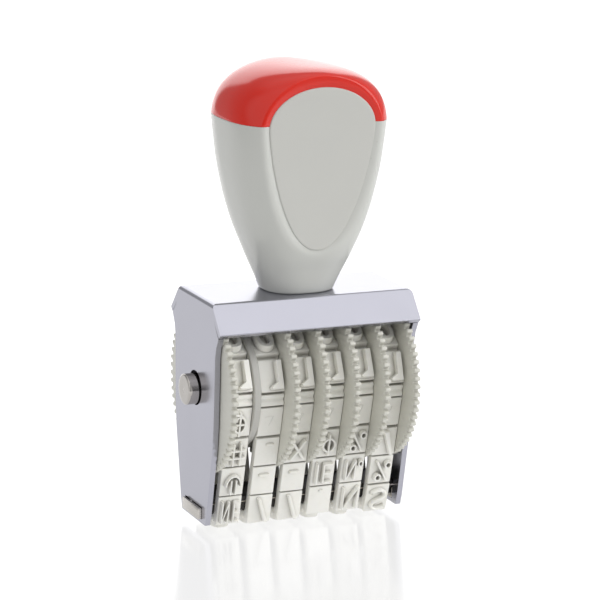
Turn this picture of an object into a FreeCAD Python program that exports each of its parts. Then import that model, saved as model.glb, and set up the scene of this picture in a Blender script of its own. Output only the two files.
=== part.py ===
# Numbering machine: a six-band hand number stamp.
#
# A folded steel yoke carries a steel axle.  Six thumb wheels turn on the axle, and each drives a rubber
# band that runs down round a plastic foot between the two side plates.  A hollow pear-shaped grip with a
# cap stands on the yoke and is held by a bolt and nut inside it.
#
# Frame: +X runs along the axle to the right, -Y is the front, +Z is up, and z = 0 is the printing face on
# which the stamp stands.  Origin: centre of the footprint, at the level of the printing face.
import FreeCAD
import Part
import math
import os
from FreeCAD import Vector as V, Placement, Rotation

doc = FreeCAD.newDocument("NumberingMachine")

# ---------------------------------------------------------------------------------------------------------
# driving dimensions, millimetres and degrees
# ---------------------------------------------------------------------------------------------------------
DIMENSIONS = [
    # folded yoke
    ("frame_half_width", 29.0, "outer faces of the side plates"),
    ("sheet", 1.5, "sheet thickness"),
    ("top_half_depth", 12.0, "top plate"),
    ("top_level", 64.4, "upper face of the top plate"),
    ("hood_half_depth", 18.2, "lower edge of the hoods"),
    ("hood_level", 57.2, "lower edge of the hoods"),
    ("hood_slit", 0.3, "gap between hood and side plate"),
    ("plate_bottom", 2.6, "lower edge of the side plates"),
    # axle
    ("axle_level", 38.65, "axle centre above the printing face"),
    ("axle_radius", 4.2, "axle"),
    ("axle_half_length", 32.1, "axle ends"),
    ("axle_chamfer", 0.35, "axle ends"),
    ("axle_hole_radius", 4.75, "holes of the side plates, on whose lower rear the axle rests"),
    ("axle_hole_y", -0.4, "centres of these holes, from the axle"),
    ("axle_hole_z", 0.37, "centres of these holes, from the axle"),
    # wheels
    ("flange_radius", 23.2, "over the serrations"),
    ("flange_width", 1.65, "serrated flange"),
    ("hub_radius", 13.3, "hub that carries the band"),
    ("hub_length", 6.95, "hub"),
    ("bore_radius", 4.26, "running fit on the axle"),
    ("gap_radius", 0.6, "hollows between the serrations"),
    ("gap_pitch_radius", 23.0, "centres of the hollows"),
    ("teeth", 64, "serrations on each flange"),
    ("wheel_one", -25.51, "inner face of the flange of wheel 1"),
    ("wheel_two", -9.45, "inner face of the flange of wheel 2"),
    ("wheel_pitch", 8.74, "wheels 2 to 6"),
    # bands
    ("band_width", 6.7, "band"),
    ("band_side_gap", 0.15, "band to flange"),
    ("band_inner_radius", 13.5, "inner face round the hub"),
    ("band_web", 1.3, "plain web of the band"),
    ("band_base", 2.3, "web and the flat blocks on it"),
    ("band_relief", 2.0, "raised characters above the blocks"),
    ("cell_pitch", 8.92, "characters along the middle of the band, below the splice"),
    ("splice_length", 3.6, "blank stretch between characters 4 and 5"),
    ("cell_length", 8.1, "flat block of one character"),
    ("character_width", 5.0, "raised character"),
    ("character_length", 7.4, "raised character"),
    ("cell_count", 14, "characters on one band"),
    ("foot_half", 5.8, "inner half depth of the band at the foot"),
    ("foot_corner", 1.8, "inner corner radius at the foot"),
    # spacer disc
    ("spacer_radius", 16.9, "smooth disc between bands 1 and 2"),
    ("spacer_left", -18.46, "left face"),
    ("spacer_width", 1.96, "thickness"),
    # foot
    ("foot_top", 9.0, "top of the foot"),
    ("foot_half_length", 27.3, "foot between the side plates"),
    ("bar_low", 3.7, "tie bar, lower face of the tabs"),
    ("bar_height", 3.1, "tie bar, tabs"),
    ("core_low", 4.9, "tie bar inside the foot, lower face"),
    ("bar_half_depth", 3.3, "tie bar inside the foot"),
    ("tab_half_depth", 6.0, "tabs of the tie bar"),
    ("tab_end", 30.0, "ends of the tabs"),
    ("tab_slot_gap", 0.25, "slot clearance round a tab"),
    ("wire_radius", 0.3, "guard wires of the foot"),
    ("wire_level", 7.6, "guard wires of the foot"),
    # grip
    ("grip_base_half", 9.8, "foot of the grip on the top plate"),
    ("grip_split", 111.4, "joint between grip and cap"),
    ("grip_top", 125.6, "top of the cap"),
    ("grip_half_width", 22.0, "widest section"),
    ("grip_half_depth", 20.55, "widest section before the facets"),
    ("grip_wall", 2.5, "wall of the grip"),
    ("grip_floor", 70.4, "inner floor of the grip"),
    ("facet_high_y", 17.1, "facet plane at facet_high_z"),
    ("facet_high_z", 121.3, "facet plane"),
    ("facet_low_y", 14.6, "facet plane at facet_low_z"),
    ("facet_low_z", 78.0, "facet plane"),
    ("label_half_width", 15.15, "oval plate"),
    ("label_wide", 110.5, "level of the greatest width of the oval plate"),
    ("label_top", 121.2, "oval plate"),
    ("label_bottom", 77.3, "oval plate"),
    ("label_depth", 0.9, "oval plate thickness"),
    # grip fastening
    ("bolt_radius", 2.5, "handle bolt"),
    ("bolt_head_radius", 5.0, "handle bolt"),
    ("bolt_head_height", 0.55, "handle bolt"),
    ("bolt_top", 77.2, "handle bolt"),
    ("nut_flats", 8.0, "across flats"),
    ("nut_height", 4.0, "handle nut"),
    ("washer_radius", 5.3, "handle washer"),
    ("washer_height", 0.9, "handle washer"),
    ("axle_washer_radius", 7.5, "axle washers"),
    ("axle_washer_height", 0.2, "axle washers"),
]
sheet = doc.addObject("Spreadsheet::Sheet", "Dimensions")
for row, (alias, value, note) in enumerate(DIMENSIONS, start=1):
    sheet.set("A%d" % row, alias)
    sheet.set("B%d" % row, str(value))
    sheet.set("C%d" % row, note)
    sheet.setAlias("B%d" % row, alias)
doc.recompute()


def dim(name):
    return float(getattr(sheet, name))


def cell(name):
    return "Dimensions." + name


PARTS = []


def keep(obj, label):
    obj.Label = label
    PARTS.append(obj)
    return obj


# ---------------------------------------------------------------------------------------------------------
# small helpers
# ---------------------------------------------------------------------------------------------------------
def plane(body, role):
    for feature in body.Origin.OriginFeatures:
        if feature.Role == role:
            return feature
    raise RuntimeError("no " + role)


def sketch_on(body, name, role="XY_Plane", offset=0.0):
    sk = body.newObject("Sketcher::SketchObject", name)
    sk.AttachmentSupport = (plane(body, role), [""])
    sk.MapMode = "FlatFace"
    if offset:
        sk.AttachmentOffset = Placement(V(0, 0, offset), Rotation())
    return sk


def circle(sk, expression, x=0.0, y=0.0, constraint="radius"):
    """A circle centred on the sketch's X axis whose radius is bound to the sheet."""
    import Sketcher
    index = sk.addGeometry(Part.Circle(V(x, y, 0), V(0, 0, 1), 1.0), False)
    if x == 0 and y == 0:
        sk.addConstraint(Sketcher.Constraint("Coincident", index, 3, -1, 1))
    number = sk.addConstraint(Sketcher.Constraint("Radius", index, 1.0))
    sk.renameConstraint(number, constraint)
    sk.setExpression("Constraints." + constraint, expression)
    return index


def polygon(points, y_to=None):
    pts = [V(*p) for p in points]
    return Part.Face(Part.makePolygon(pts + [pts[0]]))


def box(x0, x1, y0, y1, z0, z1):
    return Part.makeBox(x1 - x0, y1 - y0, z1 - z0, V(x0, y0, z0))


def cylinder_x(radius, x0, x1, y, z):
    return Part.makeCylinder(radius, x1 - x0, V(x0, y, z), V(1, 0, 0))


TO_RIGHT = Rotation(V(0, 1, 0), 90)     # body axis +Z turned to +X
TO_LEFT = Rotation(V(0, 1, 0), -90)     # body axis +Z turned to -X

# ---------------------------------------------------------------------------------------------------------
# folded yoke: top plate, two hoods, two side plates
# ---------------------------------------------------------------------------------------------------------
W, S = dim("frame_half_width"), dim("sheet")
TY, TZ = dim("top_half_depth"), dim("top_level")
HY, HZ = dim("hood_half_depth"), dim("hood_level")
AZ = dim("axle_level")


def hood(side):
    """One sloping hood, folded down from the long edge of the top plate."""
    length = math.hypot(HY - TY, TZ - HZ)
    ny, nz = (TZ - HZ) / length, (HY - TY) / length
    outline = [(-W, side * TY, TZ), (-W, side * HY, HZ),
               (-W, side * (HY - S * ny), HZ - S * nz), (-W, side * (TY - S * ny * 1.2), TZ - S)]
    return polygon(outline).extrude(V(2 * W, 0, 0))


def side_outline(x):
    """Outline of a side plate: bellied above, drawn in towards the foot."""
    length = math.hypot(HY - TY, TZ - HZ)
    ny, nz = (TZ - HZ) / length, (HY - TY) / length
    off = S + dim("hood_slit")
    right = [(TY - off * ny - 0.45, TZ - 0.02), (TY - off * ny, TZ - off * nz), (HY - off * ny, HZ - off * nz),
             (15.3, 53.2), (14.6, 50.2), (14.4, 41.5), (14.0, 31.0), (13.4, 25.2), (9.45, 5.6),
             (8.5, dim("plate_bottom"))]
    pts = [(x, y, z) for y, z in right] + [(x, -y, z) for y, z in reversed(right)]
    return polygon(pts)


shape = box(-W, W, -TY, TY, TZ - S, TZ)
for side in (-1, 1):
    shape = shape.fuse(hood(side))
for x in (-W, W - S):
    plate = side_outline(x).extrude(V(S, 0, 0))
    # the hole is wider than the axle, which rests on its lower rear
    plate = plate.cut(cylinder_x(dim("axle_hole_radius"), x - 1, x + S + 1, dim("axle_hole_y"),
                                 AZ + dim("axle_hole_z")))
    g = dim("tab_slot_gap")
    plate = plate.cut(box(x - 1, x + S + 1, -dim("tab_half_depth") - g, dim("tab_half_depth") + g,
                          dim("bar_low"), dim("bar_low") + dim("bar_height") + g))
    shape = shape.fuse(plate)
shape = shape.cut(Part.makeCylinder(dim("bolt_radius") + 0.1, 10, V(0, 0, TZ - 5)))
shape = shape.removeSplitter()
# bend radii along the edges of the top plate
def along(e, axis, z):
    b = e.BoundBox
    size = {"x": b.XLength, "y": b.YLength}[axis]
    return size > 10 and b.ZMin > z - 0.05 and b.ZMax < z + 0.05


short = [e for e in shape.Edges if along(e, "y", TZ) and abs(abs(e.BoundBox.Center.x) - W) < 1e-3]
long_edges = [e for e in shape.Edges if along(e, "x", TZ) and abs(abs(e.BoundBox.Center.y) - TY) < 1e-3]
for radius, edges in ((1.2, long_edges + short), (1.0, long_edges), (0.8, short)):
    try:
        rounded = shape.makeFillet(radius, edges)
        if rounded.isValid() and len(rounded.Solids) == 1:
            shape = rounded
            print("bends %.1f on %d edges" % (radius, len(edges)))
            break
    except Exception as problem:
        print("bends %.1f: %s" % (radius, problem))
lips = [e for e in shape.Edges if along(e, "x", HZ) and abs(abs(e.BoundBox.Center.y) - HY) < 1e-3]
try:
    rounded = shape.makeFillet(0.3, lips)
    if rounded.isValid() and len(rounded.Solids) == 1:
        shape = rounded
        print("lips on %d edges" % len(lips))
except Exception as problem:
    print("lips: %s" % problem)
frame = keep(doc.addObject("Part::Feature", "Frame"), "frame")
frame.Shape = shape
frame.Placement = Placement(V(0, 0, 0), Rotation())

# ---------------------------------------------------------------------------------------------------------
# axle
# ---------------------------------------------------------------------------------------------------------
axle = keep(doc.addObject("PartDesign::Body", "Axle"), "axle")
sk = sketch_on(axle, "AxleSection")
circle(sk, cell("axle_radius"))
pad = axle.newObject("PartDesign::Pad", "AxleRod")
pad.Profile = sk
pad.setExpression("Length", "2 * " + cell("axle_half_length"))
pad.Midplane = True
doc.recompute()
ends = ["Edge%d" % (i + 1) for i, e in enumerate(pad.Shape.Edges)
        if e.BoundBox.ZLength < 1e-6 and abs(abs(e.BoundBox.ZMin) - dim("axle_half_length")) < 1e-3]
chamfer = axle.newObject("PartDesign::Chamfer", "AxleEnds")
chamfer.Base = (pad, ends)
chamfer.setExpression("Size", cell("axle_chamfer"))
axle.Tip = chamfer
axle.Placement = Placement(V(0, 0, 0), TO_RIGHT)
axle.setExpression("Placement.Base.z", cell("axle_level"))

# thin washers between the outer wheels and the side plates
left = Part.makeCylinder(dim("axle_washer_radius"), dim("axle_washer_height"), V(0, 0, 0), V(1, 0, 0))
left = left.cut(Part.makeCylinder(dim("axle_radius"), 2, V(-1, 0, 0), V(1, 0, 0)))
right = left.copy()
left.translate(V(-W + S, 0, AZ))
right.translate(V(W - S - dim("axle_washer_height"), 0, AZ))
washers = keep(doc.addObject("Part::Feature", "AxleWashers"), "axle_washers")
washers.Shape = Part.makeCompound([left, right])
washers.Placement = Placement(V(0, 0, 0), Rotation())


# ---------------------------------------------------------------------------------------------------------
# thumb wheels: smooth hub for the band, serrated flange for the fingertip
# ---------------------------------------------------------------------------------------------------------
def number_wheel(index, x_expression, turn):
    import Sketcher
    body = doc.addObject("PartDesign::Body", "NumberWheel%d" % index)
    sk = sketch_on(body, "FlangeSection%d" % index)
    circle(sk, cell("flange_radius"))
    flange = body.newObject("PartDesign::Pad", "Flange%d" % index)
    flange.Profile = sk
    flange.setExpression("Length", cell("flange_width"))
    sk = sketch_on(body, "HubSection%d" % index)
    circle(sk, cell("hub_radius"))
    hub = body.newObject("PartDesign::Pad", "Hub%d" % index)
    hub.Profile = sk
    hub.Reversed = True
    hub.setExpression("Length", cell("hub_length"))
    doc.recompute()
    before = hub.Shape.Volume
    sk = sketch_on(body, "BoreSection%d" % index)
    circle(sk, cell("bore_radius"))
    bore = body.newObject("PartDesign::Pocket", "Bore%d" % index)
    bore.Profile = sk
    bore.Type = "ThroughAll"
    bore.Midplane = True
    doc.recompute()
    expected = math.pi * dim("bore_radius") ** 2 * (dim("hub_length") + dim("flange_width"))
    if abs(before - bore.Shape.Volume - expected) > 0.5:
        raise RuntimeError("bore of wheel %d cut %.2f" % (index, before - bore.Shape.Volume))
    sk = sketch_on(body, "GapSection%d" % index)
    item = sk.addGeometry(Part.Circle(V(dim("gap_pitch_radius"), 0, 0), V(0, 0, 1), 0.5), False)
    number = sk.addConstraint(Sketcher.Constraint("Radius", item, 0.5))
    sk.renameConstraint(number, "radius")
    sk.setExpression("Constraints.radius", cell("gap_radius"))
    number = sk.addConstraint(Sketcher.Constraint("DistanceX", -1, 1, item, 3, dim("gap_pitch_radius")))
    sk.renameConstraint(number, "reach")
    sk.setExpression("Constraints.reach", cell("gap_pitch_radius"))
    sk.addConstraint(Sketcher.Constraint("PointOnObject", item, 3, -1))
    gap = body.newObject("PartDesign::Pocket", "Gap%d" % index)
    gap.Profile = sk
    gap.Type = "ThroughAll"
    gap.Midplane = True
    doc.recompute()
    if not gap.Shape.Volume < bore.Shape.Volume - 0.1:
        raise RuntimeError("gap of wheel %d cuts nothing" % index)
    ring = body.newObject("PartDesign::PolarPattern", "Serrations%d" % index)
    ring.Originals = [gap]
    ring.Axis = (sk, ["N_Axis"])
    ring.Angle = 360
    ring.setExpression("Occurrences", cell("teeth"))
    body.Tip = ring
    doc.recompute()
    cut = bore.Shape.Volume - ring.Shape.Volume
    one = bore.Shape.Volume - gap.Shape.Volume
    if abs(cut - one * dim("teeth")) > 0.02 * one * dim("teeth"):
        raise RuntimeError("serrations of wheel %d cut %.2f of %.2f" % (index, cut, one * dim("teeth")))
    body.Placement = Placement(V(0, 0, 0), turn)
    body.setExpression("Placement.Base.x", x_expression)
    body.setExpression("Placement.Base.z", cell("axle_level"))
    keep(body, "number_wheel_%d" % index)
    return body


number_wheel(1, cell("wheel_one"), TO_LEFT)
for k in range(2, 7):
    number_wheel(k, "%s + %d * %s" % (cell("wheel_two"), k - 2, cell("wheel_pitch")), TO_RIGHT)

# ---------------------------------------------------------------------------------------------------------
# smooth spacer disc between bands 1 and 2, tight on the axle
# ---------------------------------------------------------------------------------------------------------
spacer = keep(doc.addObject("PartDesign::Body", "SpacerDisc"), "spacer_disc")
sk = sketch_on(spacer, "SpacerSection")
circle(sk, cell("spacer_radius"))
circle(sk, cell("axle_radius"), constraint="bore")
pad = spacer.newObject("PartDesign::Pad", "SpacerPad")
pad.Profile = sk
pad.setExpression("Length", cell("spacer_width"))
spacer.Tip = pad
doc.recompute()
spacer.Placement = Placement(V(0, 0, 0), TO_RIGHT)
spacer.setExpression("Placement.Base.x", cell("spacer_left"))
spacer.setExpression("Placement.Base.z", cell("axle_level"))


# ---------------------------------------------------------------------------------------------------------
# rubber bands: a web round hub and foot, with one raised block for each character
# ---------------------------------------------------------------------------------------------------------
# how far each band has crept round, towards the front, from the place where cell 0 is centred on the foot
CREEP = {1: 0.0, 2: -0.6, 3: -0.6, 4: 0.1, 5: 0.2, 6: -1.2}


def band_path(offset):
    """Closed path of the band in the YZ plane at an offset outside its inner face.

    Returns the straight and curved stretches as (kind, data, length), from the middle of the foot towards
    the front, over the hub and down behind."""
    big = dim("band_inner_radius") + offset
    small = dim("foot_corner") + offset
    web = dim("band_base") + dim("band_relief")
    by = dim("foot_half") - dim("foot_corner")        # centre of the small corner arcs
    bz = web + dim("foot_corner")
    dy, dz = by, AZ - bz
    dist = math.hypot(dy, dz)
    # outer common tangent of the corner circle and the hub circle, on the front side
    lean = math.asin((big - small) / dist) - math.atan2(dy, dz)
    return big, small, by, bz, lean


def band_wire(offset, x):
    big, small, by, bz, lean = band_path(offset)
    c, s = math.cos(lean), math.sin(lean)
    # tangent points; the strand's outward normal on the front is (-cos, -sin)
    lower = V(x, -by - small * c, bz - small * s)
    upper = V(x, -big * c, AZ - big * s)
    lower2, upper2 = V(x, -lower.y, lower.z), V(x, -upper.y, upper.z)
    bottom1, bottom2 = V(x, -by, bz - small), V(x, by, bz - small)
    half = (math.pi / 2 + lean) / 2
    mid1 = V(x, -by - small * math.cos(lean + (math.pi / 2 - lean) / 2),
             bz - small * math.sin(lean + (math.pi / 2 - lean) / 2))
    mid2 = V(x, -mid1.y, mid1.z)
    edges = [Part.LineSegment(bottom2, bottom1).toShape(),
             Part.Arc(bottom1, mid1, lower).toShape(),
             Part.LineSegment(lower, upper).toShape(),
             Part.Arc(upper, V(x, 0, AZ + big), upper2).toShape(),
             Part.LineSegment(upper2, lower2).toShape(),
             Part.Arc(lower2, mid2, bottom2).toShape()]
    return Part.Wire(edges)


def band_point(distance, offset):
    """Point and outward normal (y, z) at a distance along the outer path, from the middle of the foot,
    positive towards the front and up."""
    big, small, by, bz, lean = band_path(offset)
    c, s = math.cos(lean), math.sin(lean)
    stretch = by
    if distance < stretch:
        return -distance, bz - small, 0.0, -1.0
    distance -= stretch
    turn = math.pi / 2 - lean
    if distance < turn * small:
        a = distance / small
        return -by - small * math.sin(a), bz - small * math.cos(a), -math.sin(a), -math.cos(a)
    distance -= turn * small
    ly, lz = -by - small * c, bz - small * s
    uy, uz = -big * c, AZ - big * s
    run = math.hypot(uy - ly, uz - lz)
    if distance < run:
        f = distance / run
        return ly + (uy - ly) * f, lz + (uz - lz) * f, -c, -s
    distance -= run
    # over the hub: the angle is measured so that the front tangent point is at pi + lean
    a = math.pi + lean - distance / big
    return big * math.cos(a), AZ + big * math.sin(a), math.cos(a), math.sin(a)


def band_length(offset):
    return band_wire(offset, 0).Length


def number_band(index, x0):
    """One endless band: web, flat blocks with a notch between them, and a raised pad for each character.

    Cell 0 lies under the foot, cells 1 to 4 climb the front, then comes the short blank of the splice."""
    width = dim("band_width")
    web, base, relief = dim("band_web"), dim("band_base"), dim("band_relief")
    middle = base / 2
    outer = Part.Face(band_wire(web, x0)).extrude(V(width, 0, 0))
    inner = Part.Face(band_wire(0, x0)).extrude(V(width, 0, 0))
    shape = outer.cut(inner)
    total = band_length(middle)
    pitch = dim("cell_pitch")
    count = int(dim("cell_count"))
    splice = dim("splice_length")
    # the cells behind the splice share what is left of the length
    start = 4.5 * pitch + splice
    rest = (total - 0.5 * pitch - start) / (count - 5)
    cells = [(n * pitch, dim("cell_length"), n != 4) for n in range(5)]
    cells.append((4.5 * pitch + splice / 2, splice - 0.5, False))
    cells += [(start + (n - 4.5) * rest, dim("cell_length"), True) for n in range(5, count)]
    for distance, length, raised in cells:
        distance = (distance + CREEP[index]) % total
        mirror = distance > total / 2
        y, z, ny, nz = band_point(total - distance if mirror else distance, middle)
        if mirror:
            y, ny = -y, -ny
        angle = math.degrees(math.atan2(-ny, nz))
        blocks = [Part.makeBox(width, length, base - middle + 0.4, V(0, -length / 2, -0.4))]
        if raised:
            cw, cl = dim("character_width"), dim("character_length")
            blocks.append(Part.makeBox(cw, cl, base - middle + relief, V((width - cw) / 2, -cl / 2, 0)))
        for block in blocks:
            block.rotate(V(0, 0, 0), V(1, 0, 0), angle)
            block.translate(V(x0, y, z))
            shape = shape.fuse(block)
    shape = shape.cut(inner).removeSplitter()
    if len(shape.Solids) != 1:
        raise RuntimeError("band %d has %d solids" % (index, len(shape.Solids)))
    band = keep(doc.addObject("Part::Feature", "NumberBand%d" % index), "number_band_%d" % index)
    band.Shape = shape.Solids[0]
    band.Placement = Placement(V(0, 0, 0), Rotation())
    return band


number_band(1, dim("wheel_one") + dim("band_side_gap"))
for k in range(2, 7):
    number_band(k, dim("wheel_two") + (k - 2) * dim("wheel_pitch") - dim("band_side_gap") - dim("band_width"))
print("band length %.2f, lean %.2f deg" % (band_length(dim("band_base")),
                                          math.degrees(band_path(dim("band_base"))[4])))

# ---------------------------------------------------------------------------------------------------------
# foot: a plastic bar that the bands run round, stiffened by a steel tie bar with tabs in the side plates
# ---------------------------------------------------------------------------------------------------------
L = dim("foot_half_length")
web = dim("band_base") + dim("band_relief")
low = web + 0.1
big, small, by, bz, lean = band_path(-0.12)
slope = math.tan(lean)


def foot_y(z):
    """Half depth of the foot just inside the band strands."""
    return by + small * math.cos(lean) + (z - (bz - small * math.sin(lean))) * slope


ft = dim("foot_top")
zc = bz - small * math.sin(lean)
outline = [(-L, -by, low), (-L, -by - small * math.sin(0.8), bz - small * math.cos(0.8)), (-L, -foot_y(zc), zc),
           (-L, -foot_y(ft), ft)]
outline = outline + [(x, -y, z) for x, y, z in reversed(outline)]
shape = polygon(outline).extrude(V(2 * L, 0, 0))
shape = shape.cut(box(-L - 1, L + 1, -dim("bar_half_depth"), dim("bar_half_depth"), dim("core_low"),
                      dim("bar_low") + dim("bar_height")))
wires = []
for side in (-1, 1):
    wz = dim("wire_level")
    wy = side * (foot_y(wz) - 0.3)
    groove = cylinder_x(dim("wire_radius"), -L - 1, L + 1, wy, wz)
    shape = shape.cut(groove)
    wires.append(cylinder_x(dim("wire_radius"), -W + S, W - S, wy, wz))
foot = keep(doc.addObject("Part::Feature", "FootBar"), "foot_bar")
foot.Shape = shape.removeSplitter()
foot.Placement = Placement(V(0, 0, 0), Rotation())
# the wires stop short of the strands of the bands, so that a band can run over them
wire = keep(doc.addObject("Part::Feature", "FootWires"), "foot_wires")
wire.Shape = Part.makeCompound(wires)
wire.Placement = Placement(V(0, 0, 0), Rotation())

core = doc.addObject("Part::Box", "TieCore")
core.setExpression("Length", "2 * %s - 2 * %s" % (cell("frame_half_width"), cell("sheet")))
core.setExpression("Width", "2 * " + cell("bar_half_depth"))
core.setExpression("Height", "%s + %s - %s" % (cell("bar_low"), cell("bar_height"), cell("core_low")))
core.setExpression("Placement.Base.x", "%s - %s" % (cell("sheet"), cell("frame_half_width")))
core.setExpression("Placement.Base.y", "-" + cell("bar_half_depth"))
core.setExpression("Placement.Base.z", cell("core_low"))
tabs = []
for name, sign in (("TieTabLeft", -1), ("TieTabRight", 1)):
    tab = doc.addObject("Part::Box", name)
    tab.setExpression("Length", "%s - %s + %s" % (cell("tab_end"), cell("frame_half_width"), cell("sheet")))
    tab.setExpression("Width", "2 * " + cell("tab_half_depth"))
    tab.setExpression("Height", cell("bar_height"))
    tab.setExpression("Placement.Base.x", ("-" + cell("tab_end")) if sign < 0 else
                      "%s - %s" % (cell("frame_half_width"), cell("sheet")))
    tab.setExpression("Placement.Base.y", "-" + cell("tab_half_depth"))
    tab.setExpression("Placement.Base.z", cell("bar_low"))
    tabs.append(tab)
tie = keep(doc.addObject("Part::MultiFuse", "FootTieBar"), "foot_tie_bar")
tie.Shapes = [core] + tabs
tie.Refine = True


# ---------------------------------------------------------------------------------------------------------
# grip: hollow shell, cap, and two oval plates let into its front and rear facets
# ---------------------------------------------------------------------------------------------------------
def section(z, a, b, n=2.6, inset=0.0):
    """Closed superellipse in a horizontal plane."""
    a, b = a - inset, b - inset
    pts = []
    for i in range(48):
        t = 2 * math.pi * i / 48
        c, s = math.cos(t), math.sin(t)
        pts.append(V(a * math.copysign(abs(c) ** (2 / n), c), b * math.copysign(abs(s) ** (2 / n), s), z))
    curve = Part.BSplineCurve()
    curve.interpolate(pts, PeriodicFlag=True)
    return Part.Wire([curve.toShape()])


GW, GD = dim("grip_half_width"), dim("grip_half_depth")
RB = dim("grip_base_half")
# level, half width, half depth, roundness of the section
PROFILE = [(TZ, RB, 8.8, 2.4), (67.6, 10.85, 10.1, 2.6), (71.4, 12.35, 11.75, 2.8), (75.3, 13.8, 13.8, 2.9),
           (82.8, 16.7, 16.5, 2.9), (91.2, 19.1, 18.4, 2.9), (101.5, 21.05, 19.9, 2.9),
           (dim("grip_split"), GW, GD, 3.0)]


def profile(z):
    """Half width, half depth and roundness of the grip at a level, by a monotone cubic through PROFILE."""
    k = max(i for i in range(len(PROFILE) - 1) if PROFILE[i][0] <= z or i == 0)
    width = [PROFILE[i + 1][0] - PROFILE[i][0] for i in range(len(PROFILE) - 1)]
    t = (z - PROFILE[k][0]) / width[k]
    values = []
    for c in (1, 2, 3):
        step = [(PROFILE[i + 1][c] - PROFILE[i][c]) / width[i] for i in range(len(width))]

        def slope(i):
            if i == 0 or i == len(width):
                return step[0] if i == 0 else step[-1] * 0.7
            p, q = step[i - 1], step[i]
            return 0.0 if p * q <= 0 else 2 * p * q / (p + q)
        m0, m1 = slope(k) * width[k], slope(k + 1) * width[k]
        v0, v1 = PROFILE[k][c], PROFILE[k + 1][c]
        values.append((2 * t ** 3 - 3 * t ** 2 + 1) * v0 + (t ** 3 - 2 * t ** 2 + t) * m0
                      + (3 * t ** 2 - 2 * t ** 3) * v1 + (t ** 3 - t ** 2) * m1)
    return tuple(values)


LEVELS = [TZ, 66.4, 68.6, 71.0, 73.8, 77.0, 80.6, 84.4, 88.4, 92.6, 97.0, 101.6, 106.4, dim("grip_split")]
BODY = [(z,) + profile(z) for z in LEVELS]


def loft(rows, inset=0.0, low=None, high=None):
    wires = []
    for z, a, b, n in rows:
        wires.append(section(z, a, b, n, inset))
    return Part.makeLoft(wires, True, False)


def dome(z0, rows, a, b, height, inset=0.0):
    """Top of the cap: a vault that falls away at the sides and runs on flatter towards the two facets."""
    wires = []
    for f in rows:
        ka = (1 - f ** 2.45) ** (1 / 2.45)
        kb = (1 - f ** 5.3) ** (1 / 5.3)
        wires.append(section(z0 + (height - inset) * f, max((a - inset) * ka, 1.5), max((b - inset) * kb, 6.0),
                             3.0 - 1.0 * f))
    return Part.makeLoft(wires, True, False)


def facet_tool(side, depth=0.0):
    """Everything outside the facet plane, which leans with the grip, moved inwards by a depth."""
    y1, z1, y0, z0 = dim("facet_high_y"), dim("facet_high_z"), dim("facet_low_y"), dim("facet_low_z")
    k = (y1 - y0) / (z1 - z0)

    def at(z):
        return y0 + k * (z - z0) - depth
    pts = [(-40, side * at(70.0), 70.0), (-40, side * at(135.0), 135.0), (-40, side * 60, 135.0), (-40, side * 60, 70.0)]
    return polygon(pts).extrude(V(80, 0, 0))


def oval(side, grow=0.0):
    """Upright egg-shaped prism over a facet, for the oval plate and its recess."""
    top, bottom, half = dim("label_top") + grow, dim("label_bottom") - grow, dim("label_half_width") + grow
    wide = dim("label_wide")
    pts = []
    for i in range(72):
        t = 2 * math.pi * i / 72
        s, c = math.sin(t), math.cos(t)
        if s >= 0:
            pts.append(V(half * c, 0, wide + (top - wide) * s))
        else:
            x = half * (1 - min(abs(s), 1.0) ** 1.4) ** 0.4755
            pts.append(V(math.copysign(x, c), 0, wide - (wide - bottom) * abs(s)))
    curve = Part.BSplineCurve()
    curve.interpolate(pts, PeriodicFlag=True)
    face = Part.Face(Part.Wire([curve.toShape()]))
    return face.extrude(V(0, side * 40, 0))


split, top = dim("grip_split"), dim("grip_top")
wall = dim("grip_wall")
outer = loft(BODY)
cavity_rows = [(z,) + profile(z) for z in [dim("grip_floor")] + [z for z in LEVELS if z > dim("grip_floor") + 1.5]]
cavity_rows[-1] = (split + 1.0,) + cavity_rows[-1][1:]
cavity = loft(cavity_rows, inset=wall)
# the facets thin the wall, so the cavity is cut back behind them and behind the oval plates
shell = outer
hollow = cavity
ld = dim("label_depth")
for side in (-1, 1):
    shell = shell.cut(facet_tool(side))
    hollow = hollow.cut(facet_tool(side, depth=ld + 1.8))
    recess = oval(side, 0.12).common(facet_tool(side, depth=ld))
    shell = shell.cut(recess)
shell = shell.cut(hollow)
shell = shell.cut(Part.makeCylinder(dim("bolt_radius") + 0.1, 20, V(0, 0, TZ - 1)))
grip = keep(doc.addObject("Part::Feature", "HandleShell"), "handle_shell")
grip.Shape = shell
grip.Placement = Placement(V(0, 0, 0), Rotation())

height = top - split
cap = dome(split, [0.0, 0.2, 0.4, 0.56, 0.7, 0.81, 0.89, 0.945, 0.98, 1.0], GW, GD, height)
inside = dome(split - 0.01, [0.0, 0.25, 0.5, 0.7, 0.85, 0.95, 1.0], GW, GD, height, inset=wall + 2.0)
for side in (-1, 1):
    inside = inside.cut(facet_tool(side, depth=ld + 3.9))
# spigot that plugs into the mouth of the shell
spigot_rows = [(split - 4.0, GW - 0.25, GD - 0.25, 3.0), (split + 1.0, GW, GD, 3.0)]
spigot = loft(spigot_rows, inset=wall + 0.35)
spigot_hole = loft([(split - 5.0, GW - 0.25, GD - 0.25, 3.0), (split + 1.2, GW, GD, 3.0)], inset=wall + 2.0)
for side in (-1, 1):
    spigot = spigot.cut(facet_tool(side, depth=ld + 2.1))
    spigot_hole = spigot_hole.cut(facet_tool(side, depth=ld + 3.9))
for side in (-1, 1):
    cap = cap.cut(facet_tool(side))
    recess = oval(side, 0.12).common(facet_tool(side, depth=ld))
    cap = cap.cut(recess)
cap = cap.cut(inside).fuse(spigot).cut(spigot_hole)
lid = keep(doc.addObject("Part::Feature", "HandleCap"), "handle_cap")
lid.Shape = cap
lid.Placement = Placement(V(0, 0, 0), Rotation())

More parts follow.
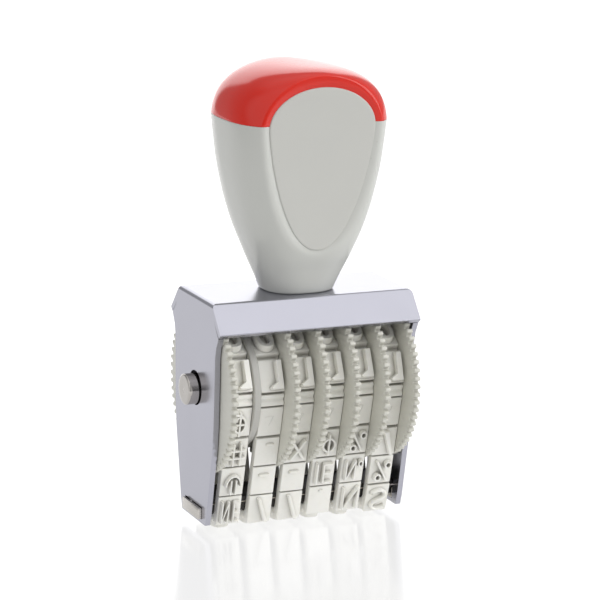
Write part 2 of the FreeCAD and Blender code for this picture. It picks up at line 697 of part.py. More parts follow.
for name, label, side in (("FrontLabelPlate", "front_label_plate", -1), ("RearLabelPlate", "rear_label_plate", 1)):
    plate = oval(side).common(facet_tool(side, depth=ld)).cut(facet_tool(side))
    obj = keep(doc.addObject("Part::Feature", name), label)
    obj.Shape = plate
    obj.Placement = Placement(V(0, 0, 0), Rotation())

# ---------------------------------------------------------------------------------------------------------
# bolt, washer and nut that hold the grip on the yoke
# ---------------------------------------------------------------------------------------------------------
head = doc.addObject("Part::Cylinder", "BoltHead")
head.setExpression("Radius", cell("bolt_head_radius"))
head.setExpression("Height", cell("bolt_head_height"))
head.setExpression("Placement.Base.z", "%s - %s - %s" % (cell("top_level"), cell("sheet"), cell("bolt_head_height")))
shank = doc.addObject("Part::Cylinder", "BoltShank")
shank.setExpression("Radius", cell("bolt_radius"))
shank.setExpression("Height", "%s - %s + %s" % (cell("bolt_top"), cell("top_level"), cell("sheet")))
shank.setExpression("Placement.Base.z", "%s - %s" % (cell("top_level"), cell("sheet")))
bolt = keep(doc.addObject("Part::Fuse", "HandleBolt"), "handle_bolt")
bolt.Base, bolt.Tool = head, shank

ring = doc.addObject("Part::Cylinder", "WasherRing")
ring.setExpression("Radius", cell("washer_radius"))
ring.setExpression("Height", cell("washer_height"))
ring.setExpression("Placement.Base.z", cell("grip_floor"))
eye = doc.addObject("Part::Cylinder", "WasherEye")
eye.setExpression("Radius", cell("bolt_radius") + " + 0.1")
eye.setExpression("Height", cell("washer_height") + " + 2")
eye.setExpression("Placement.Base.z", cell("grip_floor") + " - 1")
washer = keep(doc.addObject("Part::Cut", "HandleWasher"), "handle_washer")
washer.Base, washer.Tool = ring, eye

prism = doc.addObject("Part::Prism", "NutPrism")
prism.Polygon = 6
prism.setExpression("Circumradius", cell("nut_flats") + " / 2 / cos(30)")
prism.setExpression("Height", cell("nut_height"))
prism.setExpression("Placement.Base.z", "%s + %s" % (cell("grip_floor"), cell("washer_height")))
thread = doc.addObject("Part::Cylinder", "NutThread")
thread.setExpression("Radius", cell("bolt_radius"))
thread.setExpression("Height", cell("nut_height") + " + 2")
thread.setExpression("Placement.Base.z", "%s + %s - 1" % (cell("grip_floor"), cell("washer_height")))
nut = keep(doc.addObject("Part::Cut", "HandleNut"), "handle_nut")
nut.Base, nut.Tool = prism, thread

# ---------------------------------------------------------------------------------------------------------
# recompute, test and write one file for each sub-part
# ---------------------------------------------------------------------------------------------------------
doc.recompute()
for obj in doc.Objects:
    if "Invalid" in obj.State or "Error" in obj.State:
        raise RuntimeError("%s: %s" % (obj.Name, obj.State))
os.makedirs("parts", exist_ok=True)
for obj in PARTS:
    shape = obj.Shape
    if shape.isNull() or not shape.isValid() or shape.Volume <= 0:
        raise RuntimeError("bad shape: " + obj.Label)
    b = shape.BoundBox
    print("%-20s solids %d faces %4d volume %9.1f  x %.2f..%.2f y %.2f..%.2f z %.2f..%.2f" % (
        obj.Label, len(shape.Solids), len(shape.Faces), shape.Volume, b.XMin, b.XMax, b.YMin, b.YMax, b.ZMin, b.ZMax))
    shape.exportStep("parts/%s.step" % obj.Label)
print("%d sub-parts written" % len(PARTS))
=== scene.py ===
import math

import bmesh
import bpy
from mathutils import Matrix, Vector
from mathutils.kdtree import KDTree


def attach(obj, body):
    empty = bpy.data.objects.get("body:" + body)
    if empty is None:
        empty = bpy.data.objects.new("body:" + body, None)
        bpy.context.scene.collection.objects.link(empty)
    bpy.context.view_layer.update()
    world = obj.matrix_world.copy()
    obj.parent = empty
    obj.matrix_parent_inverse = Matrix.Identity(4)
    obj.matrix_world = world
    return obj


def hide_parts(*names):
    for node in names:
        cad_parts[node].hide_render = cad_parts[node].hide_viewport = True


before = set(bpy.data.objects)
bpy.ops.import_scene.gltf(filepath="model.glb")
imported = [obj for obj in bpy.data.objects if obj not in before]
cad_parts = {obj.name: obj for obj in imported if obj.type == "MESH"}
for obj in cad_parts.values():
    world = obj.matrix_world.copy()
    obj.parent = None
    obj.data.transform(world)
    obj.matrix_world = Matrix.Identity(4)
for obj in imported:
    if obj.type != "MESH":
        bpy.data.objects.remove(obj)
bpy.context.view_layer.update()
MM = 0.001
scene = bpy.context.scene


# ---------------------------------------------------------------------------------------------------------
# materials
# ---------------------------------------------------------------------------------------------------------
def linear(r, g, b):
    return tuple(((c / 255 + 0.055) / 1.055) ** 2.4 if c > 10 else c / 255 / 12.92 for c in (r, g, b)) + (1.0,)


def material(name, colour, rough, metal=0.0, tone=0.05, tone_scale=70.0, rough_var=0.06, grain=0.02,
             grain_scale=2600.0, stretch=None, spec=0.5, coat=0.0, coat_rough=0.1, sub=None, speck=0.0, dirt=None, painted_hollow_shade=None):
    """A surface with slow colour drift, uneven gloss and a fine moulded or rolled grain."""
    m = bpy.data.materials.new(name)
    m.use_nodes = True
    nt = m.node_tree
    n, link = nt.nodes, nt.links
    b = n["Principled BSDF"]
    b.inputs["Metallic"].default_value = metal
    b.inputs["Specular IOR Level"].default_value = spec
    b.inputs["Coat Weight"].default_value = coat
    b.inputs["Coat Roughness"].default_value = coat_rough
    if sub:
        b.inputs["Subsurface Weight"].default_value = sub[0]
        b.inputs["Subsurface Scale"].default_value = sub[1] * MM
        b.inputs["Subsurface Radius"].default_value = (1.0, 0.93, 0.72)
    coord = n.new("ShaderNodeTexCoord")
    mapping = n.new("ShaderNodeMapping")
    link.new(coord.outputs["Object"], mapping.inputs["Vector"])
    if stretch:
        mapping.inputs["Scale"].default_value = stretch
    # slow drift of tone
    drift = n.new("ShaderNodeTexNoise")
    drift.inputs["Scale"].default_value = tone_scale
    drift.inputs["Detail"].default_value = 4.0
    link.new(coord.outputs["Object"], drift.inputs["Vector"])
    ramp = n.new("ShaderNodeValToRGB")
    low = tuple(max(0.0, c * (1 - tone)) for c in colour[:3]) + (1.0,)
    high = tuple(min(1.0, c * (1 + tone)) for c in colour[:3]) + (1.0,)
    ramp.color_ramp.elements[0].position, ramp.color_ramp.elements[0].color = 0.32, low
    ramp.color_ramp.elements[1].position, ramp.color_ramp.elements[1].color = 0.68, high
    link.new(drift.outputs["Fac"], ramp.inputs["Fac"])
    top = ramp.outputs["Color"]
    if speck:
        # sparse tiny dust specks
        cells = n.new("ShaderNodeTexVoronoi")
        cells.inputs["Scale"].default_value = 260.0
        link.new(coord.outputs["Object"], cells.inputs["Vector"])
        near = n.new("ShaderNodeMapRange")
        near.inputs["From Min"].default_value = 0.02
        near.inputs["From Max"].default_value = 0.05
        near.inputs["To Min"].default_value = speck
        near.inputs["To Max"].default_value = 0.0
        link.new(cells.outputs["Distance"], near.inputs["Value"])
        mix = n.new("ShaderNodeMix")
        mix.data_type = "RGBA"
        link.new(near.outputs["Result"], mix.inputs["Factor"])
        link.new(top, mix.inputs["A"])
        mix.inputs["B"].default_value = tuple(c * 0.45 for c in colour[:3]) + (1.0,)
        top = mix.outputs["Result"]
    if dirt:
        # tone that settles where a finer, patchy noise is high
        patch = n.new("ShaderNodeTexNoise")
        patch.inputs["Scale"].default_value = 420.0
        patch.inputs["Detail"].default_value = 6.0
        patch.inputs["Roughness"].default_value = 0.65
        link.new(coord.outputs["Object"], patch.inputs["Vector"])
        amount = n.new("ShaderNodeMapRange")
        amount.inputs["From Min"].default_value = 0.5
        amount.inputs["From Max"].default_value = 0.75
        amount.inputs["To Min"].default_value = 0.0
        amount.inputs["To Max"].default_value = dirt[1]
        link.new(patch.outputs["Fac"], amount.inputs["Value"])
        mix = n.new("ShaderNodeMix")
        mix.data_type = "RGBA"
        link.new(amount.outputs["Result"], mix.inputs["Factor"])
        link.new(top, mix.inputs["A"])
        mix.inputs["B"].default_value = dirt[0]
        top = mix.outputs["Result"]
    if painted_hollow_shade:
        # painted shade: an ambient-occlusion mask darkens notches and corners towards the given colour: colour, reach
        # in millimetres, amount
        shade = n.new("ShaderNodeAmbientOcclusion")
        shade.samples = 8
        shade.only_local = True
        shade.inputs["Distance"].default_value = painted_hollow_shade[1] * MM
        amount = n.new("ShaderNodeMapRange")
        amount.inputs["From Min"].default_value = 0.25
        amount.inputs["From Max"].default_value = 0.85
        amount.inputs["To Min"].default_value = painted_hollow_shade[2]
        amount.inputs["To Max"].default_value = 0.0
        link.new(shade.outputs["AO"], amount.inputs["Value"])
        mix = n.new("ShaderNodeMix")
        mix.data_type = "RGBA"
        link.new(amount.outputs["Result"], mix.inputs["Factor"])
        link.new(top, mix.inputs["A"])
        mix.inputs["B"].default_value = painted_hollow_shade[0]
        top = mix.outputs["Result"]
    link.new(top, b.inputs["Base Color"])
    # fine grain, for gloss and relief
    fine = n.new("ShaderNodeTexNoise")
    fine.inputs["Scale"].default_value = grain_scale
    fine.inputs["Detail"].default_value = 3.0
    link.new(mapping.outputs["Vector"], fine.inputs["Vector"])
    gloss = n.new("ShaderNodeMapRange")
    gloss.inputs["To Min"].default_value = max(0.02, rough - rough_var)
    gloss.inputs["To Max"].default_value = min(1.0, rough + rough_var)
    link.new(fine.outputs["Fac"], gloss.inputs["Value"])
    link.new(gloss.outputs["Result"], b.inputs["Roughness"])
    bump = n.new("ShaderNodeBump")
    bump.inputs["Strength"].default_value = 1.0
    bump.inputs["Distance"].default_value = grain * MM
    link.new(fine.outputs["Fac"], bump.inputs["Height"])
    link.new(bump.outputs["Normal"], b.inputs["Normal"])
    return m


FRAME_STEEL = material("frame_nickel", linear(183, 183, 193), 0.21, metal=1.0, tone=0.015, grain=0.0006,
                       grain_scale=700.0, rough_var=0.03)
AXLE_STEEL = material("axle_nickel", linear(186, 182, 178), 0.09, metal=1.0, tone=0.02, grain=0.0006,
                      grain_scale=1500.0, rough_var=0.03)
TIE_STEEL = material("tie_nickel", linear(200, 196, 191), 0.26, metal=1.0, tone=0.04, grain=0.0015, rough_var=0.06)
ZINC = material("fastener_zinc", linear(196, 196, 198), 0.36, metal=1.0, tone=0.05, grain=0.006, rough_var=0.08)
WIRE = material("bright_wire", linear(226, 218, 208), 0.22, metal=1.0, tone=0.03, grain=0.002)
GRIP = material("grip_plastic", linear(200, 201, 196), 0.20, tone=0.010, grain=0.0012, grain_scale=2600.0,
                rough_var=0.03, speck=0.35)
CAP = material("cap_plastic", (0.68, 0.017, 0.006, 1.0), 0.10, tone=0.015, grain=0.0008, grain_scale=2400.0,
               rough_var=0.02)
LABEL = material("label_plastic", linear(195, 195, 190), 0.42, tone=0.010, grain=0.008, grain_scale=4200.0,
                 rough_var=0.06, speck=0.25)
# painted shade: the last colour darkens the wheel in its tooth hollows and where it lies close to other parts
WHEEL = material("wheel_plastic", linear(208, 207, 198), 0.38, tone=0.025, grain=0.003, grain_scale=2600.0,
                 rough_var=0.06, painted_hollow_shade=(linear(120, 116, 104), 1.1, 0.75))
SPACER = material("spacer_plastic", linear(190, 189, 184), 0.38, tone=0.02, grain=0.008, rough_var=0.07)
# painted shade: the last colour darkens the rubber in the notches between blocks and round the foot of each character
BAND = material("band_rubber", linear(240, 239, 233), 0.45, tone=0.02, grain=0.004, grain_scale=2200.0,
                rough_var=0.06, dirt=(linear(196, 191, 172), 0.12), sub=(0.10, 0.4),
                painted_hollow_shade=(linear(112, 108, 97), 1.5, 0.68))
# painted shade: the band's side faces are a darker, yellower copy of the rubber, tinted warm as by light off the
# wheels; the last colour adds painted shade in hollows
BAND_SIDE_PAINTED_SHADE = material("band_edge", linear(208, 200, 164), 0.60, tone=0.06, grain=0.010, grain_scale=2200.0,
                     rough_var=0.08, dirt=(linear(156, 148, 122), 0.25),
                     painted_hollow_shade=(linear(110, 104, 84), 0.9, 0.7))
# painted shade: the tick is a low ridge coloured dark, standing in for the shade inside an engraved line
BAND_TICK_PAINTED_SHADE = material("band_mark", linear(150, 146, 134), 0.60, tone=0.10, grain=0.004, rough_var=0.08)
FOOT = material("foot_plastic", linear(34, 31, 29), 0.42, tone=0.10, grain=0.010, rough_var=0.08)


# ---------------------------------------------------------------------------------------------------------
# mesh helpers
# ---------------------------------------------------------------------------------------------------------
def mesh_from(name, verts, faces):
    """Mesh from millimetre points."""
    me = bpy.data.meshes.new(name)
    me.from_pydata([(x * MM, y * MM, z * MM) for x, y, z in verts], [], faces)
    me.validate()
    return me


def weld(me, distance=1e-7, outward=True):
    bm = bmesh.new()
    bm.from_mesh(me)
    bmesh.ops.remove_doubles(bm, verts=bm.verts, dist=distance)
    if outward:
        bmesh.ops.recalc_face_normals(bm, faces=bm.faces)
    bm.to_mesh(me)
    bm.free()
    return me


def join(name, meshes):
    """One mesh from several; material indices are kept."""
    bm = bmesh.new()
    for me in meshes:
        bm.from_mesh(me)
    out = bpy.data.meshes.new(name)
    bm.to_mesh(out)
    bm.free()
    return out


def piece(name, me, mats, body, replaces=(), sharp=32.0):
    obj = bpy.data.objects.new(name, me)
    scene.collection.objects.link(obj)
    me.materials.clear()
    for m in (mats if isinstance(mats, (list, tuple)) else [mats]):
        me.materials.append(m)
    for p in me.polygons:
        p.use_smooth = True
    me.set_sharp_from_angle(angle=math.radians(sharp))
    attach(obj, body)
    if replaces:
        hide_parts(*replaces)
    return obj


def evaluated(obj):
    """The object's final mesh, modifiers applied; the object itself is removed."""
    dg = bpy.context.evaluated_depsgraph_get()
    me = bpy.data.meshes.new_from_object(obj.evaluated_get(dg))
    bpy.data.objects.remove(obj)
    return me


def cut_plate(name, outlines, depth, bevel, segments=2):
    """Flat piece from closed outlines (outer and holes) of (u, v) points, with rounded edges: u, v and w from 0
    to depth become Y, Z and X."""
    cu = bpy.data.curves.new(name, "CURVE")
    cu.dimensions = "2D"
    cu.fill_mode = "BOTH"
    cu.extrude = max(depth / 2 - bevel, 1e-4) * MM
    cu.bevel_depth = bevel * MM
    cu.bevel_resolution = segments
    cu.offset = -bevel * MM
    for pts in outlines:
        sp = cu.splines.new("POLY")
        sp.points.add(len(pts) - 1)
        for p, (u, v) in zip(sp.points, pts):
            p.co = (u * MM, v * MM, 0, 1)
        sp.use_cyclic_u = True
    obj = bpy.data.objects.new(name, cu)
    scene.collection.objects.link(obj)
    me = evaluated(obj)
    bpy.data.curves.remove(cu)
    # (u, v, w) -> (w, u, v)
    me.transform(Matrix(((0, 0, 1, depth / 2 * MM), (1, 0, 0, 0), (0, 1, 0, 0), (0, 0, 0, 1))))
    return weld(me)


def moved(me, x=0.0, y=0.0, z=0.0):
    me.transform(Matrix.Translation((x * MM, y * MM, z * MM)))
    return me


def lathe(name, profile, segs=96, axis="X"):
    """Closed solid of revolution about X or Z from a profile of (distance along the axis, radius)."""
    verts, faces, rings = [], [], []
    for a, r in profile:
        if r <= 1e-9:
            rings.append([len(verts)])
            verts.append((a, 0.0, 0.0))
        else:
            start = len(verts)
            for i in range(segs):
                t = 2 * math.pi * i / segs
                verts.append((a, r * math.cos(t), r * math.sin(t)))
            rings.append(list(range(start, start + segs)))
    pairs = list(zip(rings, rings[1:]))
    if profile[0][1] > 0 and profile[-1][1] > 0:
        pairs.append((rings[-1], rings[0]))
    for p, q in pairs:
        if len(p) == 1 and len(q) == 1:
            continue
        for i in range(segs):
            j = (i + 1) % segs
            if len(p) == 1:
                faces.append((p[0], q[i], q[j]))
            elif len(q) == 1:
                faces.append((p[i], q[0], p[j]))
            else:
                faces.append((p[i], q[i], q[j], p[j]))
    if axis == "Z":
        verts = [(y, z, x) for x, y, z in verts]
    me = mesh_from(name, verts, faces)
    return weld(me)


# ---------------------------------------------------------------------------------------------------------
# helper: an imported piece with its sharp edges broken
# ---------------------------------------------------------------------------------------------------------
def broken_edges(node, width, angle=28.0, segments=2):
    """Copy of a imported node's mesh with its sharp edges rounded."""
    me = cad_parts[node].data.copy()
    bm = bmesh.new()
    bm.from_mesh(me)
    bmesh.ops.remove_doubles(bm, verts=bm.verts, dist=2e-6)
    edges = [e for e in bm.edges if len(e.link_faces) == 2 and e.calc_face_angle(0) > math.radians(angle)]
    bmesh.ops.bevel(bm, geom=edges, offset=width * MM, segments=segments, profile=0.5, affect="EDGES",
                    clamp_overlap=False, loop_slide=True)
    bmesh.ops.recalc_face_normals(bm, faces=bm.faces)
    bm.to_mesh(me)
    bm.free()
    return me



# ---------------------------------------------------------------------------------------------------------
# axle: bright turned pin
# ---------------------------------------------------------------------------------------------------------
AXLE_Z, AXLE_R, AXLE_END = 38.65, 4.2, 32.1


def pin_profile():
    rows = [(-AXLE_END, 0.0), (-AXLE_END, 0.35), (-AXLE_END + 0.05, 0.5), (-AXLE_END + 0.02, 0.7), (-AXLE_END, 1.0),
            (-AXLE_END, 3.0), (-AXLE_END, AXLE_R - 0.42), (-AXLE_END + 0.035, AXLE_R - 0.27),
            (-AXLE_END + 0.14, AXLE_R - 0.12), (-AXLE_END + 0.30, AXLE_R - 0.025), (-AXLE_END + 0.44, AXLE_R)]
    rows += [(x, AXLE_R) for x in (-29.1, -28.9, -20.0, 0.0)]
    return rows + [(-a, r) for a, r in reversed(rows[:-1])]


piece("axle_pin", moved(lathe("axle_pin", pin_profile(), 128), z=AXLE_Z), AXLE_STEEL, "root", ["axle"],
      sharp=40)
for obj_name, mat in (("frame", FRAME_STEEL), ("axle_washers", ZINC), ("foot_wires", WIRE)):
    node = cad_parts[obj_name]
    node.data.materials.clear()
    node.data.materials.append(mat)
    for p in node.data.polygons:
        p.use_smooth = True
    node.data.set_sharp_from_angle(angle=math.radians(35))


# ---------------------------------------------------------------------------------------------------------
# thumb wheels: serrated flange and smooth hub
# ---------------------------------------------------------------------------------------------------------
TEETH, RIM = 64, 23.2
WHEEL_X = [-25.51] + [-9.45 + 8.74 * k for k in range(5)]


def tooth_outline():
    """Rim with round hollows between bead-like teeth."""
    half = math.pi * RIM / TEETH
    step = [(0.0, 1.45), (0.20, 1.42), (0.35, 1.31), (0.46, 1.10), (0.52, 0.82), (0.55, 0.55), (0.59, 0.34),
            (0.66, 0.16), (0.77, 0.05), (0.89, 0.008), (1.0, 0.0)]
    side = [(u, RIM - 0.008 - d) for u, d in step]
    pitch = side + [(half, RIM)] + [(2 * half - u, r) for u, r in reversed(side[1:])]
    pts = []
    for k in range(TEETH):
        for u, r in pitch:
            a = 2 * math.pi * k / TEETH + u / RIM - math.pi / 2
            pts.append((r * math.cos(a), r * math.sin(a)))
    return pts


def ring(radius, count=96, y=0.0, z=0.0):
    return [(y + radius * math.cos(2 * math.pi * i / count), z + radius * math.sin(2 * math.pi * i / count))
            for i in range(count)]


def wheel_mesh(index):
    """Wheel in place but centred on the axle line; the hub points to -X for wheels 2 to 6."""
    flange = cut_plate("flange", [tooth_outline(), ring(4.26)], 1.65, 0.22, 3)
    hub = lathe("hub", [(-6.95, 4.26), (-6.95, 4.9), (-6.85, 5.05), (-6.85, 11.6), (-6.95, 11.75), (-6.95, 13.05),
                        (-6.88, 13.22), (-6.7, 13.3), (-0.05, 13.3), (0.05, 13.3), (0.05, 4.26)], 160)
    me = join("wheel", [flange, hub])
    if index == 1:
        me.transform(Matrix.Diagonal((-1, -1, 1, 1)))
    return moved(me, x=WHEEL_X[index - 1], z=AXLE_Z)


for k in range(1, 7):
    piece("thumb_wheel_%d" % k, wheel_mesh(k), WHEEL, "wheel_%d" % k, ["number_wheel_%d" % k],
          sharp=38)

# smooth spacer disc
disc = lathe("disc", [(0.0, 4.2), (0.0, 16.6), (0.06, 16.78), (0.22, 16.88), (0.4, 16.9), (1.56, 16.9), (1.74, 16.88),
                      (1.90, 16.78), (1.96, 16.6), (1.96, 4.2)], 160)
piece("spacer_ring", moved(disc, x=-18.46, z=AXLE_Z), SPACER, "root", ["spacer_disc"])

# ---------------------------------------------------------------------------------------------------------
# rubber bands
# ---------------------------------------------------------------------------------------------------------
BASE, RELIEF, WEB, PITCH, SPLICE, CELLS = 2.3, 2.0, 1.3, 8.92, 3.6, 14
FOOT_HALF, FOOT_CORNER = 5.8, 1.8
BAND_W = 6.7
BAND_X = [-25.36] + [-9.45 + 8.74 * k - 6.85 for k in range(5)]
# how far each band has crept round towards the front
CREEP = (0.0, -0.6, -0.6, 0.1, 0.2, -1.2)
MID = BASE / 2


def band_path(offset):
    big, small = 13.5 + offset, FOOT_CORNER + offset
    by, bz = FOOT_HALF - FOOT_CORNER, BASE + RELIEF + FOOT_CORNER
    dy, dz = by, AXLE_Z - bz
    lean = math.asin((big - small) / math.hypot(dy, dz)) - math.atan2(dy, dz)
    return big, small, by, bz, lean


def band_lengths(offset):
    big, small, by, bz, lean = band_path(offset)
    c, s = math.cos(lean), math.sin(lean)
    run = math.hypot(big * c - by - small * c, AXLE_Z - big * s - bz + small * s)
    return by, (math.pi / 2 - lean) * small, run, big * (math.pi + 2 * lean)


def band_point(distance, offset):
    """Point (y, z) and outward normal at a distance along the band, from the middle of the foot forwards and up."""
    total = 2 * sum(band_lengths(offset)[:3]) + band_lengths(offset)[3]
    distance %= total
    if distance > total / 2:
        y, z, ny, nz = band_point(total - distance, offset) if total - distance > 1e-9 else band_point(0.0, offset)
        return -y, z, -ny, nz
    big, small, by, bz, lean = band_path(offset)
    c, s = math.cos(lean), math.sin(lean)
    if distance < by:
        return -distance, bz - small, 0.0, -1.0
    distance -= by
    turn = math.pi / 2 - lean
    if distance < turn * small:
        a = distance / small
        return -by - small * math.sin(a), bz - small * math.cos(a), -math.sin(a), -math.cos(a)
    distance -= turn * small
    ly, lz = -by - small * c, bz - small * s
    uy, uz = -big * c, AXLE_Z - big * s
    run = math.hypot(uy - ly, uz - lz)
    if distance < run:
        f = distance / run
        return ly + (uy - ly) * f, lz + (uz - lz) * f, -c, -s
    distance -= run
    a = math.pi + lean - distance / big
    return big * math.cos(a), AXLE_Z + big * math.sin(a), math.cos(a), math.sin(a)


MID_TOTAL = 2 * sum(band_lengths(MID)[:3]) + band_lengths(MID)[3]
START = 4.5 * PITCH + SPLICE
REST = (MID_TOTAL - 0.5 * PITCH - START) / (CELLS - 5)
# limits between the flat blocks along the mid line, with the width of the notch at each, from cell 0 forwards
LIMITS = [(-0.5 * PITCH, 0.40), (0.5 * PITCH, 0.40), (1.5 * PITCH, 0.36), (2.5 * PITCH, 0.40), (3.5 * PITCH, 0.8),
          (4.5 * PITCH, 0.20), (START, 0.20), (START + REST, 0.8)]
LIMITS += [(START + k * REST, 0.45) for k in range(2, CELLS - 5)] + [(MID_TOTAL - 0.5 * PITCH, 0.40)]
# first and last point of each block
BLOCKS = [(p + g / 2, q - h / 2) for (p, g), (q, h) in zip(LIMITS, LIMITS[1:])]
SPLICE_BLOCK = 5
# height of the outer face along half a block, from its middle to its end: (distance before the end, drop)
BLOCK_EDGE = [(0.34, 0.0), (0.20, 0.012), (0.10, 0.05), (0.03, 0.12), (0.0, 0.24)]
SPLICE_HALF = [(0.0, 0.46), (0.18, 0.42), (0.38, 0.26), (0.58, 0.10), (0.80, 0.02), (1.05, 0.0), (1.30, 0.02),
               (1.48, 0.09), (1.59, 0.20), (1.64, 0.42)]


def block_frame(distance):
    """Middle point, outward normal and onward tangent of the band at a distance along its mid line."""
    y, z, ny, nz = band_point(distance, MID)
    return Vector((y, z)), Vector((ny, nz)), Vector((nz, -ny))


def band_outline(creep):
    outer = []
    h = BASE - MID
    count = len(BLOCKS)
    for i, (first, last) in enumerate(BLOCKS):
        c, n, t = block_frame((first + last) / 2 + creep)
        half = (last - first) / 2
        if i == SPLICE_BLOCK:
            upper = [(u, d) for u, d in SPLICE_HALF]
        else:
            upper = [(half - e, d) for e, d in BLOCK_EDGE]
        start = 1 if upper[0][0] == 0.0 else 0
        for u, d in [(-u, d) for u, d in reversed(upper)] + upper[start:]:
            outer.append(tuple(c + t * u + n * (h - d)))
        following = BLOCKS[(i + 1) % count][0] + (MID_TOTAL if i + 1 == count else 0.0)
        # floor of the notch
        for f in (0.25, 0.75):
            my, mz, mny, mnz = band_point(last + (following - last) * f + creep, MID)
            outer.append((my + mny * (1.35 - MID), mz + mnz * (1.35 - MID)))
    total = 2 * sum(band_lengths(0.0)[:3]) + band_lengths(0.0)[3]
    inner = []
    steps = 150
    for i in range(steps):
        y, z, ny, nz = band_point(total * i / steps, 0.0)
        inner.append((y, z))
    return outer, inner


GLYPHS = {}
SYMBOL_H = 1.4


def glyph(char, width, length, height=RELIEF, bold=0.035, taper=0.034):
    """Raised character with sloping walls, centred, its face at the given height and its root below zero."""
    key = (char, width, length, height, bold, taper)
    if key in GLYPHS:
        return GLYPHS[key]
    cu = bpy.data.curves.new("glyph", "FONT")
    cu.body = char
    cu.size = 1.0
    cu.resolution_u = 8
    cu.fill_mode = "BOTH"
    cu.extrude = 0.012
    cu.bevel_depth = taper
    cu.bevel_resolution = 1
    cu.offset = bold - taper
    obj = bpy.data.objects.new("glyph", cu)
    scene.collection.objects.link(obj)
    me = evaluated(obj)
    bpy.data.curves.remove(cu)
    xs = [v.co.x for v in me.vertices]
    ys = [v.co.y for v in me.vertices]
    zs = [v.co.z for v in me.vertices]
    sx, sy, sz = width / (max(xs) - min(xs)), length / (max(ys) - min(ys)), height / max(zs)
    cx, cy = (max(xs) + min(xs)) / 2, (max(ys) + min(ys)) / 2
    for v in me.vertices:
        v.co = ((v.co.x - cx) * sx, (v.co.y - cy) * sy, v.co.z * sz)
    GLYPHS[key] = me
    return me


def prism_glyph(outlines, height=RELIEF, taper=0.28):
    """Raised shape from closed outlines in millimetres, with sloping walls."""
    cu = bpy.data.curves.new("shape", "CURVE")
    cu.dimensions = "2D"
    cu.fill_mode = "BOTH"
    cu.extrude = 0.02
    cu.bevel_depth = taper
    cu.bevel_resolution = 1
    cu.offset = -taper
    for pts in outlines:
        sp = cu.splines.new("POLY")
        sp.points.add(len(pts) - 1)
        for p, (u, v) in zip(sp.points, pts):
            p.co = (u, v, 0, 1)
        sp.use_cyclic_u = True
    obj = bpy.data.objects.new("shape", cu)
    scene.collection.objects.link(obj)
    me = evaluated(obj)
    bpy.data.curves.remove(cu)
    top = max(v.co.z for v in me.vertices)
    for v in me.vertices:
        v.co.z *= height / top
    return me


def rounded(points, radius, steps=5):
    """Closed outline with its corners rounded."""
    out = []
    count = len(points)
    for i in range(count):
        p, q, r = Vector(points[i - 1]), Vector(points[i]), Vector(points[(i + 1) % count])
        a, b = (p - q), (r - q)
        reach = min(radius, a.length * 0.45, b.length * 0.45)
        s, e = q + a.normalized() * reach, q + b.normalized() * reach
        for k in range(steps + 1):
            f = k / steps
            out.append(tuple((1 - f) ** 2 * s + 2 * f * (1 - f) * q + f ** 2 * e))
    return out


def oval_ring(w, l, stroke_x, stroke_y, power=2.4, count=48):
    def loop(a, b):
        pts = []
        for i in range(count):
            t = 2 * math.pi * i / count
            c, s = math.cos(t), math.sin(t)
            pts.append((a * math.copysign(abs(c) ** (2 / power), c), b * math.copysign(abs(s) ** (2 / power), s)))
        return pts
    return [loop(w / 2, l / 2), loop(w / 2 - stroke_x, l / 2 - stroke_y)]


def strokes(lines, width=0.85, height=SYMBOL_H, taper=0.16, arcs=()):
    """Raised strokes: straight bars (u0, w0, u1, w1) and arcs (cu, cw, a, b, from, to) in degrees.  Crossing
    strokes differ a hair in height."""
    parts = []
    for u0, w0, u1, w1 in lines:
        p, q = Vector((u0, w0)), Vector((u1, w1))
        along = (q - p).normalized()
        side = Vector((-along.y, along.x)) * width / 2
        end = along * width / 2
        corners = [tuple(p - end + side), tuple(p - end - side), tuple(q + end - side), tuple(q + end + side)]
        parts.append([rounded(corners, 0.25, 4)])
    for cu, cw, a, b, first, last in arcs:
        full = abs(last - first) >= 360
        loops = []
        for grow in (width / 2, -width / 2):
            pts = []
            for i in range(32 if full else 25):
                t = math.radians(first + (last - first) * i / (32 if full else 24))
                pts.append((cu + (a + grow) * math.cos(t), cw + (b + grow) * math.sin(t)))
            loops.append(pts)
        parts.append(loops if full else [loops[0] + list(reversed(loops[1]))])
    return join("strokes", [prism_glyph(outlines, height=height - 0.006 * i, taper=taper)
                            for i, outlines in enumerate(parts)])


